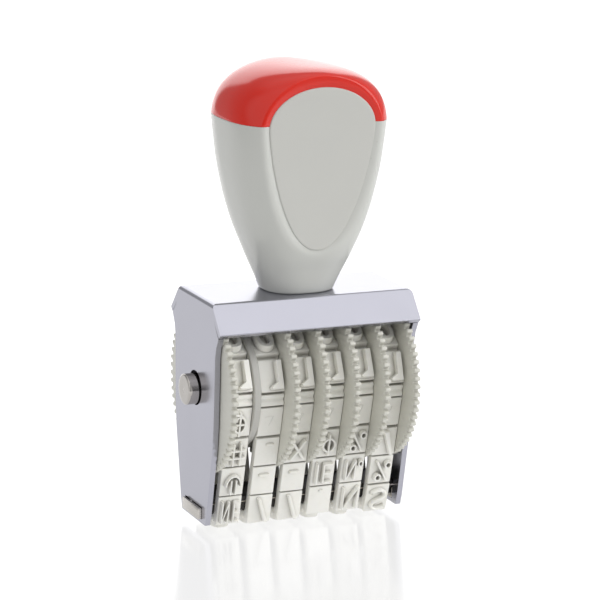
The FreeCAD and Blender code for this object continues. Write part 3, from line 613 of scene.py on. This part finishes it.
def own_shape(kind):
    """Characters that the typeface doesn't draw the way a stamp band does."""
    if kind == "0":
        return prism_glyph(oval_ring(5.3, 7.5, 1.6, 1.6))
    if kind == "foot":
        return prism_glyph([oval_ring(4.9, 7.8, 1.5, 1.6, power=3.0)[0]], taper=0.18)
    if kind == "1":
        return prism_glyph([rounded([(2.6, -3.9), (2.6, 3.85), (-0.7, 3.85), (-1.05, 3.2), (0.95, 1.9),
                                     (0.95, -3.9)], 0.18)], taper=0.10)
    if kind == "-":
        return prism_glyph([rounded([(-1.6, -2.3), (1.4, -2.3), (1.4, -1.4), (-1.6, -1.4)], 0.4)], 0.8, 0.2)
    if kind == "dash":
        return prism_glyph([rounded([(-0.5, -2.7), (1.7, -2.7), (1.7, -1.9), (-0.5, -1.9)], 0.4)], 0.7, 0.2)
    if kind == "/":
        return prism_glyph([rounded([(-1.4, -3.8), (-0.4, -3.8), (2.2, 3.8), (1.1, 3.8)], 0.3)], SYMBOL_H, 0.2)
    if kind == "wide/":
        return prism_glyph([rounded([(-1.3, -3.8), (0.5, -3.8), (2.4, 3.8), (1.3, 3.8)], 0.3)], SYMBOL_H, 0.2)
    if kind == "dot":
        return prism_glyph([rounded([(-0.6, -3.4), (0.6, -3.4), (0.6, -2.7), (-0.6, -2.7)], 0.35)], 0.5, 0.15)
    if kind == "tick":
        return strokes([(0.75, -1.5, -0.35, 1.2)], 0.16, 0.10, 0.04, arcs=[(-0.4, -1.35, 1.15, 0.35, 190, 350)])
    if kind == "x":
        return strokes([(-1.8, -2.6, 1.8, 2.6), (-1.8, 2.6, 1.8, -2.6)], 0.9)
    if kind == "#":
        return strokes([(-1.0, -3.1, -1.0, 3.1), (1.0, -3.1, 1.0, 3.1), (-2.2, -1.1, 2.2, -1.1),
                        (-2.2, 1.1, 2.2, 1.1)], 0.7)
    if kind == "phi":
        return strokes([(0.2, -3.0, 0.2, 3.0)], 0.75, arcs=[(0.2, 0.0, 1.7, 1.9, 0, 360)])
    if kind == "euro":
        return strokes([(-0.65, -0.8, -0.65, 3.2), (0.75, -0.8, 0.75, 3.2)], 0.65,
                       arcs=[(0.0, 0.9, 2.1, 3.1, 180, 360)])
    if kind == "four":
        return strokes([(-0.2, -3.3, -0.2, 3.3), (-1.4, 0.0, 1.0, 0.0), (-1.7, -2.9, -0.2, -2.9)], 0.8,
                       arcs=[(-0.2, 0.0, 1.6, 2.3, 0, 360)])
    if kind == "bar E":
        return strokes([(-2.2, -3.0, -2.2, 3.0), (-0.3, -2.8, -0.3, 2.8), (-0.3, -2.8, 2.0, -2.8),
                        (-0.3, 0.0, 1.8, 0.0), (-0.3, 2.8, 2.0, 2.8)], 0.7)
    if kind == "N ring":
        return strokes([(-2.3, -2.8, -2.3, 2.8), (-2.3, 2.8, 0.3, -2.8), (0.3, -2.8, 0.3, 2.8)], 0.65,
                       arcs=[(1.8, -1.9, 0.6, 0.8, 0, 360)])
    if kind == "%":
        return strokes([(-1.7, -3.0, 1.5, 3.0)], 0.7, arcs=[(-1.2, 1.8, 0.8, 0.9, 0, 360), (1.5, -1.9, 0.8, 0.9, 0, 360)])
    if kind == "N E":
        return strokes([(-2.4, -3.0, -2.4, 3.0), (-2.4, 3.0, -0.6, -3.0), (-0.6, -3.0, -0.6, 3.0),
                        (0.9, -2.9, 0.9, 2.9), (0.9, -2.9, 2.3, -2.9), (0.9, 0.0, 2.1, 0.0), (0.9, 2.9, 2.3, 2.9)], 0.6)
    return None


def glyph_for(kind):
    if kind in ("", None):
        return None
    own = own_shape(kind)
    if own is not None:
        return own
    if kind in "NS":
        return glyph(kind, 4.8, 6.8, SYMBOL_H, 0.0)
    return glyph(kind, 5.0, 7.1)


# what stands on the fourteen cells, from the foot forwards and up the front
SYMBOLS = {1: ("N E", "euro", "#", "four"), 2: ("/", "-", "dash", "tick"), 3: ("/", "-", "x", "tick"),
           4: ("dot", "bar E", "phi", "tick"), 5: ("N", "N ring", "%", "tick"), 6: ("S", "%", "wide/", "tick")}


def band_mesh(index):
    x0, creep = BAND_X[index - 1], CREEP[index - 1]
    outer, inner = band_outline(creep)
    body = moved(cut_plate("band", [outer, inner], BAND_W, 0.16, 3), x=x0)
    # faces that look sideways get the darker, yellower copy of the rubber: painted shade on the band's sides
    for p in body.polygons:
        p.material_index = 1 if abs(p.normal.x) > 0.9 else 0
    parts = [body]
    kinds = ["foot"] + list(SYMBOLS[index]) + [None, "1", "0", "9", "8", "7", "6", "5", "4", "3"]
    for (first, last), kind in zip(BLOCKS, kinds):
        src = glyph_for(kind)
        if src is None:
            continue
        c, n, t = block_frame((first + last) / 2 + creep)
        me = src.copy()
        # the character stands on its head and mirrored, as type does
        origin = c + n * (BASE - MID)
        cx = x0 + BAND_W / 2
        for v in me.vertices:
            u, w, h = v.co
            p = origin - t * w + n * h
            v.co = ((cx + u) * MM, p.x * MM, p.y * MM)
        me = weld(me)
        # the tick's faces take the dark colour that paints the shade of an engraved line
        if kind == "tick":
            for p in me.polygons:
                p.material_index = 2
        parts.append(me)
    return join("band_%d" % index, parts)


for k in range(1, 7):
    piece("character_band_%d" % k, band_mesh(k), [BAND, BAND_SIDE_PAINTED_SHADE, BAND_TICK_PAINTED_SHADE], "root", ["number_band_%d" % k],
          sharp=26)


# ---------------------------------------------------------------------------------------------------------
# foot, tie bar
# ---------------------------------------------------------------------------------------------------------
piece("foot_block", broken_edges("foot_bar", 0.12), FOOT, "root", ["foot_bar"], sharp=30)
piece("tie_bar", broken_edges("foot_tie_bar", 0.22, segments=3), TIE_STEEL, "root", ["foot_tie_bar"],
      sharp=30)

# ---------------------------------------------------------------------------------------------------------
# grip
# ---------------------------------------------------------------------------------------------------------
SPLIT, TOP, FOOT_Z = 111.4, 125.6, 64.4
GW, GD = 22.0, 20.55
PROFILE = [(64.4, 9.8, 8.8, 2.4), (67.6, 10.85, 10.1, 2.6), (71.4, 12.35, 11.75, 2.8), (75.3, 13.8, 13.8, 2.9),
           (82.8, 16.7, 16.5, 2.9), (91.2, 19.1, 18.4, 2.9), (101.5, 21.05, 19.9, 2.9), (SPLIT, GW, GD, 3.0)]


def grip_section(z):
    """Half width, half depth and roundness at a level of the grip or of the cap."""
    if z > SPLIT:
        f = min((z - SPLIT) / (TOP - SPLIT), 0.99995)
        return GW * (1 - f ** 2.45) ** (1 / 2.45), GD * (1 - f ** 5.3) ** (1 / 5.3), 3.0 - f
    k = max(i for i in range(len(PROFILE) - 1) if PROFILE[i][0] <= z or i == 0)
    width = [PROFILE[i + 1][0] - PROFILE[i][0] for i in range(len(PROFILE) - 1)]
    t = (z - PROFILE[k][0]) / width[k]
    values = []
    for c in (1, 2, 3):
        step = [(PROFILE[i + 1][c] - PROFILE[i][c]) / width[i] for i in range(len(width))]

        def slope(i):
            if i == 0 or i == len(width):
                return step[0] if i == 0 else step[-1] * 0.7
            p, q = step[i - 1], step[i]
            return 0.0 if p * q <= 0 else 2 * p * q / (p + q)
        m0, m1 = slope(k) * width[k], slope(k + 1) * width[k]
        v0, v1 = PROFILE[k][c], PROFILE[k + 1][c]
        values.append((2 * t ** 3 - 3 * t ** 2 + 1) * v0 + (t ** 3 - 2 * t ** 2 + t) * m0
                      + (3 * t ** 2 - 2 * t ** 3) * v1 + (t ** 3 - t ** 2) * m1)
    return tuple(values)


def facet_y(z):
    return 14.6 + (17.1 - 14.6) / (121.3 - 78.0) * (z - 78.0)


LABEL_HALF, LABEL_WIDE, LABEL_TOP, LABEL_LOW = 15.15, 110.5, 121.2, 77.3


def label_outline(count=220, shrink=0.0):
    pts = []
    for i in range(count):
        t = 2 * math.pi * i / count
        s, c = math.sin(t), math.cos(t)
        if s >= 0:
            pts.append(((LABEL_HALF - shrink) * c, LABEL_WIDE + (LABEL_TOP - LABEL_WIDE - shrink) * s))
        else:
            x = (LABEL_HALF - shrink) * (1 - min(-s, 1.0) ** 1.4) ** 0.4755
            pts.append((math.copysign(x, c), LABEL_WIDE + (LABEL_WIDE - LABEL_LOW - shrink) * s))
    return pts


def label_half(z):
    """Half width of the oval at a level."""
    if z >= LABEL_WIDE:
        f = (z - LABEL_WIDE) / (LABEL_TOP - LABEL_WIDE)
        return LABEL_HALF * math.sqrt(max(0.0, 1 - f * f))
    f = (LABEL_WIDE - z) / (LABEL_WIDE - LABEL_LOW)
    return LABEL_HALF * max(0.0, 1 - min(f, 1.0) ** 1.4) ** 0.4755


LABEL_PTS = label_outline(3600)
LABEL_TREE = KDTree(len(LABEL_PTS))
for i, (px, pz) in enumerate(LABEL_PTS):
    LABEL_TREE.insert((px, 0.0, pz), i)
LABEL_TREE.balance()


def label_distance(x, z):
    """Distance to the edge of the oval plate, negative inside it."""
    d = LABEL_TREE.find((x, 0.0, z))[2]
    return -d if abs(x) < label_half(z) else d


def smooth_min(a, b, k):
    h = max(k - abs(a - b), 0.0) / k
    return min(a, b) - h * h * k / 4


GROOVE_W, GROOVE_D = 1.6, 0.36


def grip_radius(theta, z, inset=0.0):
    """Distance from the axis to the surface, with the two soft-edged facets; the hollow round each plate is cut in
    surface_point.
    """
    a, b, n = grip_section(z)
    c, s = abs(math.cos(theta)), abs(math.sin(theta))
    r = ((c / max(a, 1e-6)) ** n + (s / max(b, 1e-6)) ** n) ** (-1 / n)
    if s > 0.15:
        r = smooth_min(r, facet_y(z) / s, 0.55)
    r -= inset
    return r


def grip_rows(z0, z1, step):
    count = max(2, int(round((z1 - z0) / step)))
    return [z0 + (z1 - z0) * i / count for i in range(count + 1)]


FRONT_N, SIDE_N = 44, 22


def column_angles(z):
    """All the column angles of a level."""
    a, b, n = grip_section(z)
    q = facet_y(z) / max(b, 1e-6)
    x = a * (1 - q ** n) ** (1 / n) if q < 1 else 0.0
    edge = math.atan2(min(facet_y(z), b), max(x, 0.0))
    low_edge = math.radians(47.0)
    # the facet opens quickly above its foot, so the columns swing over within a short height
    blend = max(0.0, min(1.0, (z - 72.0) / 12.0))
    blend = blend * blend * (3 - 2 * blend)
    edge = low_edge * (1 - blend) + min(edge, math.radians(70.0)) * blend
    quad = []
    for i in range(SIDE_N):
        f = i / SIDE_N
        quad.append(edge * (1 - (1 - f) ** 1.25))
    for i in range(FRONT_N):
        f = i / FRONT_N
        quad.append(edge + (math.pi / 2 - edge) * f ** 1.06)
    full = list(quad)
    full += [math.pi - t for t in reversed(quad[1:])] + [math.pi]
    full = quad + [math.pi / 2] + [math.pi - t for t in reversed(quad[1:])]
    return full + [math.pi + t for t in full]


def surface_point(theta, z, lower=0.0):
    r = grip_radius(theta, z) - lower
    x, y = r * math.cos(theta), r * math.sin(theta)
    if abs(math.sin(theta)) > 0.3 and 74.0 < z < 123.5 and abs(x) < 18.5:
        d = label_distance(x, z)
        if d < GROOVE_W:
            f = max(0.0, min(1.0, d / GROOVE_W))
            deep = GROOVE_D * (1 - f) ** 1.6 if d >= 0 else GROOVE_D
            if d < -0.35:
                deep += min(0.6, (-0.35 - d) * 1.5)
            y -= math.copysign(deep, y)
    return x, y, z


def grip_outer(levels, lowers):
    verts, rings = [], []
    for z, lower in zip(levels, lowers):
        row = []
        for theta in column_angles(z):
            row.append(len(verts))
            verts.append(surface_point(theta, z, lower))
        rings.append(row)
    return verts, rings


def skin(rings, faces):
    for p, q in zip(rings, rings[1:]):
        count = len(p)
        for i in range(count):
            j = (i + 1) % count
            faces.append((p[i], p[j], q[j], q[i]))


def edge_levels(z, towards, radius):
    """Rows that round an edge off: level and inset, from the edge inwards."""
    rows = []
    for deg in (0, 22, 45, 67, 90):
        a = math.radians(deg)
        rows.append((z + towards * radius * (1 - math.cos(a)), radius * (1 - math.sin(a))))
    return rows


def grip_shell():
    low = edge_levels(FOOT_Z, 1, 0.55)
    high = edge_levels(SPLIT, -1, 0.16)
    levels = [z for z, _ in low] + grip_rows(FOOT_Z + 0.95, SPLIT - 0.45, 0.42) + [z for z, _ in reversed(high)]
    lowers = [d for _, d in low] + [0.0] * (len(levels) - len(low) - len(high)) + [d for _, d in reversed(high)]
    verts, rings = grip_outer(levels, lowers)
    # mouth, wall and floor inside
    inner = []
    for z in (SPLIT, SPLIT - 0.2, 106.0, 98.0, 90.0, 82.0, 76.0, 72.0, 70.4):
        row = []
        for theta in column_angles(z):
            r = grip_radius(theta, z) - 2.5
            s = abs(math.sin(theta))
            if s > 0.3:
                r = min(r, (facet_y(z) - 2.6) / s)
            row.append(len(verts))
            verts.append((r * math.cos(theta), r * math.sin(theta), z))
        inner.append(row)
    faces = []
    skin(rings, faces)
    skin([rings[-1]] + inner, faces)
    # floor inside and underside, each with the bolt hole
    for row, z in ((inner[-1], 70.4), (rings[0], FOOT_Z)):
        hole = []
        for i, v in enumerate(row):
            x, y, _ = verts[v]
            d = math.hypot(x, y)
            hole.append(len(verts))
            verts.append((x / d * 2.6, y / d * 2.6, z))
        if z == FOOT_Z:
            under = hole
            skin([hole, row], faces)
        else:
            upper = hole
            skin([row, hole], faces)
    count = len(under)
    for i in range(count):
        j = (i + 1) % count
        faces.append((upper[i], upper[j], under[j], under[i]))
    return weld(mesh_from("grip_shell", verts, faces))


def grip_cap():
    low = edge_levels(SPLIT, 1, 0.20)
    levels = [z for z, _ in low]
    lowers = [d for _, d in low]
    height = TOP - SPLIT
    count = 64
    for i in range(1, count + 1):
        f = i / count
        # rows crowd together towards the top
        levels.append(SPLIT + 0.2 + (height - 0.2) * (1 - (1 - f) ** 2.2) if i < count else TOP - 0.0006)
        lowers.append(0.0)
    verts, rings = grip_outer(levels, lowers)
    faces = []
    skin(rings, faces)
    crown = len(verts)
    verts.append((0.0, 0.0, TOP))
    last = rings[-1]
    for i in range(len(last)):
        faces.append((last[i], last[(i + 1) % len(last)], crown))
    # plug and underside
    inner = []
    for z, inset in ((SPLIT, 2.9), (SPLIT - 0.2, 2.9), (SPLIT - 4.0, 3.2), (SPLIT - 4.0, 4.5), (SPLIT, 4.5),
                     (118.0, 4.6), (121.0, 5.2)):
        row = []
        for theta in column_angles(z):
            r = max(grip_radius(theta, min(z, SPLIT)) - inset, 2.0)
            s = abs(math.sin(theta))
            if s > 0.3:
                r = min(r, (facet_y(min(z, SPLIT)) - 3.0 - (inset - 2.9)) / s)
            if z > SPLIT:
                r *= 0.93 if z < 119 else 0.72
            row.append(len(verts))
            verts.append((r * math.cos(theta), r * math.sin(theta), z))
        inner.append(row)
    skin([inner[0], rings[0]], faces)
    skin(list(reversed(inner)), faces)
    crown = len(verts)
    verts.append((0.0, 0.0, 121.6))
    last = inner[-1]
    for i in range(len(last)):
        faces.append((last[i], last[(i + 1) % len(last)], crown))
    return weld(mesh_from("grip_cap", verts, faces))


piece("grip", grip_shell(), GRIP, "root", ["handle_shell"], sharp=44)
piece("cap", grip_cap(), CAP, "root", ["handle_cap"], sharp=44)


def label_plate(side):
    """Oval plate, flush in its facet but for a small rounded edge."""
    rows = [(0.0, 0.86), (0.0, 0.44), (0.02, 0.34), (0.07, 0.24), (0.15, 0.15), (0.26, 0.085), (0.40, 0.052),
            (0.55, 0.045), (1.2, 0.045)]
    verts, rings = [], []
    for shrink, below in rows:
        row = []
        for x, z in label_outline(220, shrink):
            row.append(len(verts))
            verts.append((x, side * (facet_y(z) - below), z))
        rings.append(row)
    faces = []
    skin(rings, faces)
    # the face is a grid of shrinking rings towards the middle, so that it shades evenly
    inner = rings[-1]
    cx, cz = 0.0, 102.0
    for f in (0.8, 0.6, 0.4, 0.2):
        row = []
        for x, z in label_outline(220, 1.2):
            px, pz = cx + (x - cx) * f, cz + (z - cz) * f
            row.append(len(verts))
            verts.append((px, side * (facet_y(pz) - 0.045), pz))
        skin([inner, row], faces)
        inner = row
    mid = len(verts)
    verts.append((cx, side * (facet_y(cz) - 0.045), cz))
    for i in range(len(inner)):
        faces.append((inner[i], inner[(i + 1) % len(inner)], mid))
    back = rings[0]
    mid = len(verts)
    verts.append((cx, side * (facet_y(cz) - 0.86), cz))
    for i in range(len(back)):
        faces.append((back[(i + 1) % len(back)], back[i], mid))
    return weld(mesh_from("label", verts, faces))


piece("front_oval", label_plate(-1), LABEL, "root", ["front_label_plate"], sharp=50)
piece("rear_oval", label_plate(1), LABEL, "root", ["rear_label_plate"], sharp=50)


# ---------------------------------------------------------------------------------------------------------
# bolt, washer and nut inside the grip
# ---------------------------------------------------------------------------------------------------------
def bolt():
    profile = [(62.35, 0.0), (62.36, 2.6), (62.40, 3.6), (62.52, 4.4), (62.68, 4.85), (62.9, 5.0), (62.9, 2.5)]
    z = 63.4
    profile.append((z, 2.5))
    while z < 76.3:
        profile += [(z + 0.15, 2.5), (z + 0.38, 2.12), (z + 0.5, 2.12), (z + 0.73, 2.5)]
        z += 0.8
    profile += [(76.7, 2.4), (77.2, 2.0), (77.2, 0.0)]
    me = lathe("bolt", profile, 64, axis="Z")
    return me


def washer():
    return lathe("washer", [(70.4, 2.6), (70.4, 5.15), (70.55, 5.3), (71.15, 5.3), (71.3, 5.15), (71.3, 2.6)], 64,
                 axis="Z")


def nut():
    verts, faces, rings = [], [], []
    count = 72
    z0, z1 = 71.3, 75.3
    flat = 4.0
    for z, chamfer in ((z0, 1), (z0 + 0.45, 0), (z1 - 0.45, 0), (z1, 1)):
        row = []
        for i in range(count):
            t = 2 * math.pi * i / count
            hexr = flat / math.cos((t + math.pi / 6) % (math.pi / 3) - math.pi / 6)
            r = min(hexr, 3.98) if chamfer else min(hexr, 4.6)
            row.append(len(verts))
            verts.append((r * math.cos(t), r * math.sin(t), z))
        rings.append(row)
    inner = []
    for z in (z1, z0):
        row = []
        for i in range(count):
            t = 2 * math.pi * i / count
            row.append(len(verts))
            verts.append((2.5 * math.cos(t), 2.5 * math.sin(t), z))
        inner.append(row)
    skin(rings + inner + [rings[0]], faces)
    return weld(mesh_from("nut", verts, faces))


piece("bolt", bolt(), ZINC, "root", ["handle_bolt"])
piece("bolt_washer", washer(), ZINC, "root", ["handle_washer"])
piece("bolt_nut", nut(), ZINC, "root", ["handle_nut"], sharp=25)

# ---------------------------------------------------------------------------------------------------------
# floor, light, camera
# ---------------------------------------------------------------------------------------------------------
floor_mesh = mesh_from("floor", [(-300, -450, -0.02), (6000, -450, -0.02), (6000, 6000, -0.02), (-300, 6000, -0.02)],
                       [(0, 1, 2, 3)])
floor = bpy.data.objects.new("floor", floor_mesh)
scene.collection.objects.link(floor)
floor_mat = material("white_board", (0.13, 0.13, 0.13, 1.0), 0.14, tone=0.0, grain=0.0, spec=0.5, rough_var=0.02)
floor_bsdf = floor_mat.node_tree.nodes["Principled BSDF"]
floor_bsdf.inputs["Emission Color"].default_value = (1.0, 1.0, 1.0, 1.0)
floor_bsdf.inputs["Emission Strength"].default_value = 0.73
floor_mesh.materials.append(floor_mat)

world = bpy.data.worlds.new("studio")
scene.world = world
world.use_nodes = True
wn, wl = world.node_tree.nodes, world.node_tree.links
bg = wn["Background"]
coord = wn.new("ShaderNodeTexCoord")


def towards(direction, edge0, edge1, strength, level=False):
    """A soft-edged patch of light in the sky: cosines of its outer and inner edge.  A level patch is a
    full-height sector."""
    ray = coord.outputs["Generated"]
    if level:
        flat = wn.new("ShaderNodeVectorMath")
        flat.operation = "MULTIPLY"
        wl.new(ray, flat.inputs[0])
        flat.inputs[1].default_value = (1.0, 1.0, 0.0)
        unit = wn.new("ShaderNodeVectorMath")
        unit.operation = "NORMALIZE"
        wl.new(flat.outputs["Vector"], unit.inputs[0])
        ray = unit.outputs["Vector"]
    dot = wn.new("ShaderNodeVectorMath")
    dot.operation = "DOT_PRODUCT"
    wl.new(ray, dot.inputs[0])
    dot.inputs[1].default_value = Vector(direction).normalized()
    soft = wn.new("ShaderNodeMapRange")
    soft.interpolation_type = "SMOOTHSTEP"
    soft.inputs["From Min"].default_value = edge0
    soft.inputs["From Max"].default_value = edge1
    soft.inputs["To Max"].default_value = strength
    wl.new(dot.outputs["Value"], soft.inputs["Value"])
    return soft.outputs["Result"]


def maths(operation, a, b):
    node = wn.new("ShaderNodeMath")
    node.operation = operation
    for socket, value in zip(node.inputs, (a, b)):
        if isinstance(value, (int, float)):
            socket.default_value = value
        else:
            wl.new(value, socket)
    return node.outputs["Value"]


# the lit backdrop behind, up to a third of the way to overhead
backdrop = maths("MULTIPLY", towards((0.25, 0.968, 0.0), 0.875, 0.94, 1.0, level=True),
                 towards((0.0, 0.0, -1.0), -0.60, -0.53, 1.0))
sky = maths("ADD", maths("MULTIPLY", backdrop, 1.25), 0.40)
# soft boxes: overhead, overhead towards the front right, and low at the right
sky = maths("ADD", sky, towards((0.1, 0.1, 1.0), 0.70, 0.92, 0.38))
sky = maths("ADD", sky, towards((0.39, -0.355, 0.85), 0.84, 0.94, 0.50))
sky = maths("ADD", sky, towards((0.80, -0.52, 0.36), 0.86, 0.93, 2.3))
sky = maths("ADD", sky, towards((0.15, -0.80, 0.58), 0.55, 0.92, 0.20))
# a pale wall at the left
sky = maths("ADD", sky, towards((-0.80, -0.35, 0.45), 0.62, 0.90, 0.46))
# the dark room behind the camera
sky = maths("SUBTRACT", sky, towards((-0.39, -0.893, 0.225), 0.925, 0.955, 0.30))
wl.new(sky, bg.inputs["Strength"])
bg.inputs["Color"].default_value = (1.0, 1.0, 1.0, 1.0)

cam_data = bpy.data.cameras.new("camera")
cam_data.lens = 160.0
cam_data.sensor_width = 36.0
cam_data.clip_end = 20.0
cam_data.clip_start = 0.01
cam = bpy.data.objects.new("camera", cam_data)
scene.collection.objects.link(cam)
where, aim = Vector((-280.28, -644.69, 222.95)) * MM, Vector((1.39, 0.0, 60.67)) * MM
turn = (aim - where).to_track_quat("-Z", "Y").to_matrix() @ Matrix.Rotation(math.radians(1.02), 3, "Z")
cam.matrix_world = Matrix.Translation(where) @ turn.to_4x4()
scene.camera = cam
scene.view_settings.view_transform = "Standard"
